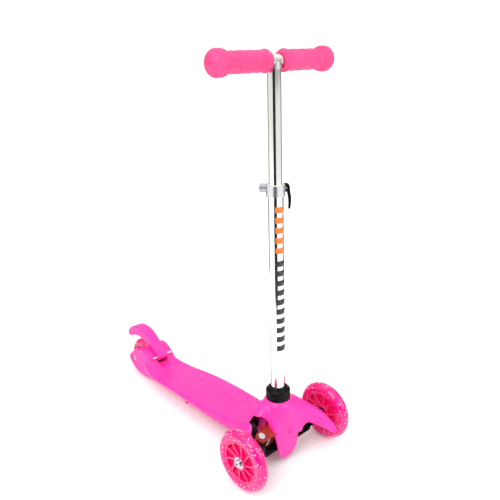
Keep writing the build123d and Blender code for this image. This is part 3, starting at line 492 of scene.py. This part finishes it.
def repeat(name, piece, material, count, step_mm, turn):
    """Geometry Nodes: count copies of a piece, each moved by a step and turned further."""
    tree = bpy.data.node_groups.new(name + " repeat", "GeometryNodeTree")
    face = tree.interface
    face.new_socket("Geometry", in_out="INPUT", socket_type="NodeSocketGeometry")
    sizes = {
        "Count": ("NodeSocketInt", count),
        "Step": ("NodeSocketVector", [c / 1000 for c in step_mm]),
        "Turn": ("NodeSocketVector", turn),
    }
    found = {
        key: face.new_socket(key, in_out="INPUT", socket_type=kind)
        for key, (kind, _) in sizes.items()
    }
    face.new_socket("Geometry", in_out="OUTPUT", socket_type="NodeSocketGeometry")
    given = add(tree, "NodeGroupInput", {})
    line = add(tree, "GeometryNodeMeshLine", {"Count": (given, "Count"), "Offset": (given, "Step")})
    index = add(tree, "GeometryNodeInputIndex", {})
    angle = add(
        tree,
        "ShaderNodeVectorMath",
        {0: (given, "Turn"), "Scale": (index, "Index")},
        operation="SCALE",
    )
    copies = add(
        tree,
        "GeometryNodeInstanceOnPoints",
        {"Points": (line, "Mesh"), "Instance": (given, "Geometry"), "Rotation": (angle, "Vector")},
    )
    real = add(tree, "GeometryNodeRealizeInstances", {"Geometry": (copies, "Instances")})
    finish = add(
        tree,
        "GeometryNodeSetMaterial",
        {"Geometry": (real, "Geometry"), "Material": material},
    )
    add(tree, "NodeGroupOutput", {"Geometry": (finish, "Geometry")})
    change = piece.modifiers.new("repeat", "NODES")
    change.node_group = tree
    for key, (_, value) in sizes.items():
        change[found[key].identifier] = value
    settle(piece)
    piece.name = piece.data.name = name
    return piece


def printed(name, colour):
    """Screen-printed ink: an even colour with a slightly soft gloss."""
    made, tree, shader, place_at = new_material(name)
    wear = add(
        tree,
        "ShaderNodeTexNoise",
        {"Vector": (place_at, "Object"), "Scale": 1000 / 1.5, "Detail": 2.0},
    )
    spread = add(
        tree,
        "ShaderNodeMapRange",
        {"Value": (wear, "Fac"), "To Min": 0.25, "To Max": 0.4},
    )
    tree.links.new(spread.outputs["Result"], shader.inputs["Roughness"])
    shader.inputs["Base Color"].default_value = srgb(colour)
    return made


def tube_bar(radius, low, high, left, right, thick=0.12):
    """A thin curved patch on a tube about Z, between two heights and two angles."""
    angles = np.linspace(left, right, 15)
    rings = [
        [(r * cos(a), r * sin(a), z) for r, z in
         ((radius, low), (radius + thick, low), (radius + thick, high), (radius, high))]
        for a in angles
    ]
    return loft("bar", rings)


for name, colour, first, count in (
    ("orange_bars", "#ef6a1f", 330.0, 5),
    ("black_bars", "#1a1a1a", 138.0, 10),
):
    bars = tube_bar(14.02, 0, 10.5, radians(-50), radians(44))
    ink = printed(name.replace("_", " ") + " ink", colour)
    repeat(name, bars, ink, count, (0, 0, 18.6), (0, 0, 0))
    bars.data.transform(stem_matrix @ Matrix.Translation((0, 0, first / 1000)))
    place(bars, "frame", "polished_aluminium", ink)

# Collar: a black nylon sleeve that clamps the lower tube where it enters the cowl.
collar_line = [(14.1, 22), (23.5, 22), (23.6, 41), (23.2, 41.6), (22.3, 41.8), (22.3, 43.4),
               (23.2, 43.8), (23.6, 44.6), (23.6, 50.6), (22.8, 51.8), (20.2, 53.6), (18.6, 54.8),
               (18.3, 56.2), (17.6, 57.2), (16.6, 57.8), (14.1, 58)]
collar = turned("collar_moulding", collar_line, (0, 0, 0), upright=True)
collar.data.transform(stem_matrix)
place(collar, "frame", "black_nylon", black_nylon, "stem_collar")

# Cowl: a thin three-armed cover of pink polypropylene over the steering gear, with a tongue
# down the front and an arm over each knuckle. It is moulded and clips to the deck's nose.
cowl_wall = 3.0
tongue_shift = -3.0  # the tongue's tip is a little off the middle


def stem_turned(name, profile, sides=72):
    """A solid turned about the upright line through the stem's foot, from (radius, z)."""
    rings = [
        [(stem_x + r * cos(a), r * sin(a), z) for r, z in profile]
        for a in np.linspace(0, tau, sides + 1)[:-1]
    ]
    return loft(name, rings, around=True)


def tongue_solid(name, inset, back, low):
    """The cowl's front tongue: its side line swept straight across."""
    line = [(-34, 128), (-16, 120), (-5, 106), (2, 90), (6, 72), (8, 52), (8.5, 34), (8, 18),
            (7, low)]
    half, corner = 38.0 - inset, 9.0
    rings = []
    for x, z in line:
        face = front_axle_x + x - inset
        turn = [(face - corner * (1 - sin(a)), half - corner * (1 - cos(a)))
                for a in np.linspace(0, pi / 2, 7)]
        side = [(min(front_axle_x - 12 - back, face - 12), half)] + turn
        ring = side + [(px, -y) for px, y in side[::-1]]
        rings.append([(px, y, z - inset * (z > 90)) for px, y in ring])
    return loft(name, rings)


def lobe_solid(name, way, inset, inner_y, outer_y, sink):
    """A cowl arm: an arch that drops from the stem out to the knuckle."""
    out = [0, 24, 40, 60, 74, 86, 94]
    tops = [132, 131, 123, 104, 93, 80, 62] if way > 0 else [132, 131, 123, 104, 94, 83, 74]
    start, swing, width = (-20, 32, 34) if way > 0 else (-32, -6, 24)
    rings = []
    for y in np.linspace(inner_y, outer_y, 24):
        t = min(max((y - 14) / 70, 0), 1.2)
        mid, half = start + swing * t * t, width + 2 * t - inset
        top = np.interp(y, out, tops) - inset
        low = 62 - 28 * t - sink
        rings.append(
            [
                (front_axle_x + mid + half * abs(cos(a)) ** 0.8 * (1 if cos(a) > 0 else -1),
                 way * y, low + (top - low) * sin(a) ** 0.8)
                for a in np.linspace(0, pi, 29)
            ]
        )
    return loft(name, rings)


cowl = stem_turned(
    "cowl_moulding",
    [(4, 50), (4, 134), (19, 134), (25, 132.5), (30, 126), (33, 114), (33.5, 98), (31, 80),
     (28, 50)],
)
join(
    cowl,
    tongue_solid("tongue", 0, 0, 8),
    lobe_solid("left_lobe", 1, 0, 0.5, 96, 0),
    lobe_solid("right_lobe", -1, 0, 0.5, 84, 0),
)
soften(cowl, 1.8, 30)
hollow = stem_turned(
    "hollow",
    [(0.5, 20), (0.5, 130), (18, 130), (23, 128.5), (27, 121), (29.5, 109), (29, 94), (27, 80),
     (22, 20)],
)
cut(cowl, hollow, tongue_solid("tongue_hollow", cowl_wall, 14, 0))
# The arch at each side of the tongue, seen from the front: how far out, and how high
tongue_side = [(0, -5), (0, 8.5), (5, 9), (11, 11.5), (16, 15.5), (20.5, 21), (24.5, 30),
               (28, 45)]
left_arch = tongue_side + [(30.5, 58), (34, 68), (40, 74), (48, 74), (60, 66), (75, 55),
                           (86, 45), (91, 42), (94, 44), (95.5, 50), (96, 58), (104, 62),
                           (104, -5)]
right_arch = tongue_side + [(30.5, 62), (33, 80), (35, 94), (38.5, 105), (45, 110), (54, 108),
                            (62, 100), (70, 88), (76, 78), (80, 75), (83, 77), (84.5, 82),
                            (104, 86), (104, -5)]
for way, arch, rear in ((1, left_arch, -30), (-1, right_arch, -38)):
    rings = [[(front_axle_x + x, way * y + tongue_shift, z) for y, z in arch] for x in (rear, 80)]
    cut(cowl, lobe_solid("lobe_hollow", way, cowl_wall, 33, 98, 26), loft("arch", rings))
cut(cowl, box_mm("neck_gap", (100, -60, 0), (177, 60, 64)))
soften(cowl, 1.2, 3)
place(cowl, "frame", "pink_pp", pink_polypropylene, "front_cowl")
# A black shell just inside the cowl, over the post and the steering base, which darkens the cowl's
# inside
dark_shell = stem_turned(
    "dark_inner_shell",
    [(19, 64), (19, 124), (24, 121), (27, 112), (27.5, 100), (25, 80), (22, 64)],
)
for way in (1, -1):
    join(dark_shell, lobe_solid("dark_shell_arm", way, 6.5, 0.5, 70, -14))
soften(dark_shell, 2.0, 4)
cut(
    dark_shell,
    lobe_solid("dark_shell_hollow", 1, 9, -60, 80, 10),
    box_mm("dark_shell_foot", (100, -90, 0), (300, 90, 72)),
)
place(dark_shell, "frame", "black_nylon", black_nylon)

# Upper tube and crossbar: 24 mm and 22 mm polished aluminium tube, welded into a T. The
# acetal guide at the tube's foot runs in the lower tube, and the weld is a rough bead.
chromed_bar = metal("bright polished aluminium", "#e6e6e4", 0.06, 1.0, (1, 0.02, 1), 0.003)
coat_node("upper_tube", polished_aluminium)
coat_node("crossbar", chromed_bar)
coat_node("crossbar_weld", metal("weld bead", "#b9b9b5", 0.35, 1.6, (1, 1, 1), 0.15))
coat_node("tube_guide", white_acetal)

# Grips: soft coral-pink rubber sleeves pushed on the crossbar, with a raised flange by the
# hands' inner side, plain raised pads, and a ball at the end with stepped rings.
grip_rubber = moulded("coral pink rubber", "#f5417f", "#ee3674", 0.5, 0.8, 0.06)
bar_top_z = 757.0
bar_x = stem_x - sin(rake) * (bar_top_z - 100) / cos(rake)
for way, side in ((1, "left"), (-1, "right")):
    profile = [(11.05, 14), (14.5, 14), (15.4, 14.8), (15.6, 17.5), (16.2, 19.5), (18.2, 20.6),
               (19.0, 21.6), (19.0, 22.6), (18.2, 23.7), (16.8, 24.4), (16.4, 26), (16.5, 29),
               (17.1, 31), (17.25, 34), (17.25, 70), (17.0, 92), (16.6, 101), (16.5, 104)]
    for step, y in enumerate((105.5, 108.6, 111.8, 115.2)):
        r = (17.6, 19.3, 20.7, 21.6)[step]
        profile += [(r - 0.7, y), (r, y + 0.5), (r + 0.15, y + 1.6), (r - 0.9, y + 2.6)]
    profile += [(21.9 * cos(a), 124 + 15.5 * sin(a)) for a in np.linspace(-0.25, 1.1, 12)]
    profile += [(8.2, 138.4), (6.4, 139.2), (4.0, 139.6), (2.0, 139.6), (1.6, 139.0), (1.5, 136),
                (0.3, 136), (0.3, 118.6), (11.05, 118.2)]
    grip = turned(side + "_grip_rubber", [(r, way * y) for r, y in profile],
                  (bar_x, 0, bar_top_z), sides=96)
    # A row of plain raised pads round the sleeve
    pad_rings = []
    for a in np.linspace(-0.2, 0.2, 7):
        edge = 0.55 * (1 - (abs(a) / 0.2) ** 4)
        pad_rings.append([(r * cos(a), way * y, r * sin(a)) for r, y in
                          ((16.6, 0), (17.2 + edge, 0.5), (17.2 + edge, 6.6), (16.6, 7.1))])
    for row, start in enumerate((36.0, 46.5, 57.0, 67.5, 78.0, 88.5)):
        pads = loft("pads", pad_rings)
        repeat(f"{side}_pads_{row}", pads, grip_rubber, 9, (0, 0, 0), (0, tau / 9, 0))
        turn = Matrix.Rotation(row % 2 * pi / 9, 4, "Y")
        pads.data.transform(
            Matrix.Translation((bar_x / 1000, way * start / 1000, bar_top_z / 1000)) @ turn
        )
        pads.data.update()
        join(grip, pads)
    grip.data.shade_smooth()
    place(grip, "handlebar", "pink_rubber", grip_rubber, side + "_grip")

# Height clamp: a zinc-plated split band round the lower tube's top, drawn tight by a bolt
# with a knurled nut and a black cam lever.
for node in ("tube_clamp", "clamp_bolt", "clamp_nut"):
    coat_node(node, zinc_steel)
coat_node("clamp_washers", black_nylon)
place(soften(copy_of("clamp_lever", "cam_lever"), 0.45, 3), "clamp_lever", "black_nylon",
      black_nylon, "clamp_lever")

# Floor: a wide pale sheet of studio paper.
paper, tree, shader, place_at = new_material("pale studio paper")
fibre = add(
    tree, "ShaderNodeTexNoise", {"Vector": (place_at, "Object"), "Scale": 60.0, "Detail": 2.0}
)
spread = add(tree, "ShaderNodeMapRange", {"Value": (fibre, "Fac"), "To Min": 0.75, "To Max": 0.85})
tree.links.new(spread.outputs["Result"], shader.inputs["Roughness"])
shader.inputs["Base Color"].default_value = srgb("#fbfbfb")
reach, floor_z = 30000, -0.05
floor = to_object(
    "floor",
    [(x * reach, y * reach, floor_z) for x, y in ((-1, -1), (1, -1), (1, 1), (-1, 1))],
    [(0, 1, 2, 3)],
)
floor.data.materials.append(paper)

# Light: a white studio, brightest overhead, with two soft boxes. Dark felt stands, which
# show only in reflections, draw the lines along the shiny tubes.
world = bpy.data.worlds.new("studio")
bpy.context.scene.world = world
world.use_nodes = True
sky = world.node_tree
sky.nodes.clear()
way_to = add(sky, "ShaderNodeTexCoord", {})
split = add(sky, "ShaderNodeSeparateXYZ", {"Vector": (way_to, "Generated")})
height = add(sky, "ShaderNodeMapRange", {"Value": (split, "Z"), "To Min": 0.5, "To Max": 1.5})
seen = add(sky, "ShaderNodeLightPath", {})
strength = add(
    sky, "ShaderNodeMix", {"Factor": (seen, "Is Camera Ray"), "A": (height, "Result"), "B": 1.05}
)
glow = {"Color": srgb("#ffffff"), "Strength": (strength, "Result")}
back = add(sky, "ShaderNodeBackground", glow)
add(sky, "ShaderNodeOutputWorld", {"Surface": (back, "Background")})
# Each stand: bearing from the T-bar, distance, width and height in metres, and shade
stem_foot = Vector((0.205, 0, 0))
for name, bearing, away, wide, tall, shade in (
    ("dark_stand", -50, 0.80, 0.62, 1.0, "#1c1a18"),
    ("grey_stand", 84, 0.95, 0.5, 1.0, "#55534e"),
    ("side_stand", -176, 0.95, 0.5, 1.0, "#6a6862"),
):
    out = Vector((cos(radians(bearing)), sin(radians(bearing)), 0))
    across = Vector((-out.y, out.x, 0)) * wide / 2
    foot, rise = stem_foot + out * away, Vector((0, 0, tall))
    corners = [foot - across, foot + across, foot + across + rise, foot - across + rise]
    stand = to_object(name, [tuple(c * 1000) for c in corners], [(0, 1, 2, 3)])
    felt, tree, shader, place_at = new_material(name + " felt")
    shader.inputs["Base Color"].default_value = srgb(shade)
    shader.inputs["Roughness"].default_value = 0.9
    stand.data.materials.append(felt)
    stand.visible_camera = stand.visible_diffuse = stand.visible_shadow = False
    stand.visible_transmission = False


def soft_box(name, place_m, aim_m, size, power):
    """A square soft box that points at a place."""
    light = bpy.data.lights.new(name, "AREA")
    light.size, light.energy = size, power
    lamp = bpy.data.objects.new(name, light)
    bpy.context.scene.collection.objects.link(lamp)
    turn = (Vector(aim_m) - Vector(place_m)).to_track_quat("-Z", "Y")
    lamp.matrix_world = Matrix.Translation(place_m) @ turn.to_matrix().to_4x4()


soft_box("key", (0.6, -2.4, 2.6), (0, 0, 0.3), 2.0, 60)
soft_box("fill", (2.6, 0.6, 1.6), (0, 0, 0.3), 1.6, 25)

# Camera: 44 mm lens at eye height of someone standing, ahead of the scooter's right side.
camera_data = bpy.data.cameras.new("camera")
camera_data.lens, camera_data.sensor_width = 43.65, 36.0
camera = bpy.data.objects.new("camera", camera_data)
bpy.context.scene.collection.objects.link(camera)
right, up, forward = (0.6906, 0.7232, 0), (-0.2438, 0.2328, 0.9415), (-0.6809, 0.6502, -0.3371)
eye_at = (0.91158, -0.74135, 0.79947)
rows = [[right[i], up[i], -forward[i], eye_at[i]] for i in range(3)]
camera.matrix_world = Matrix(rows + [[0, 0, 0, 1]])
bpy.context.scene.camera = camera
bpy.context.scene.view_settings.view_transform = "Standard"
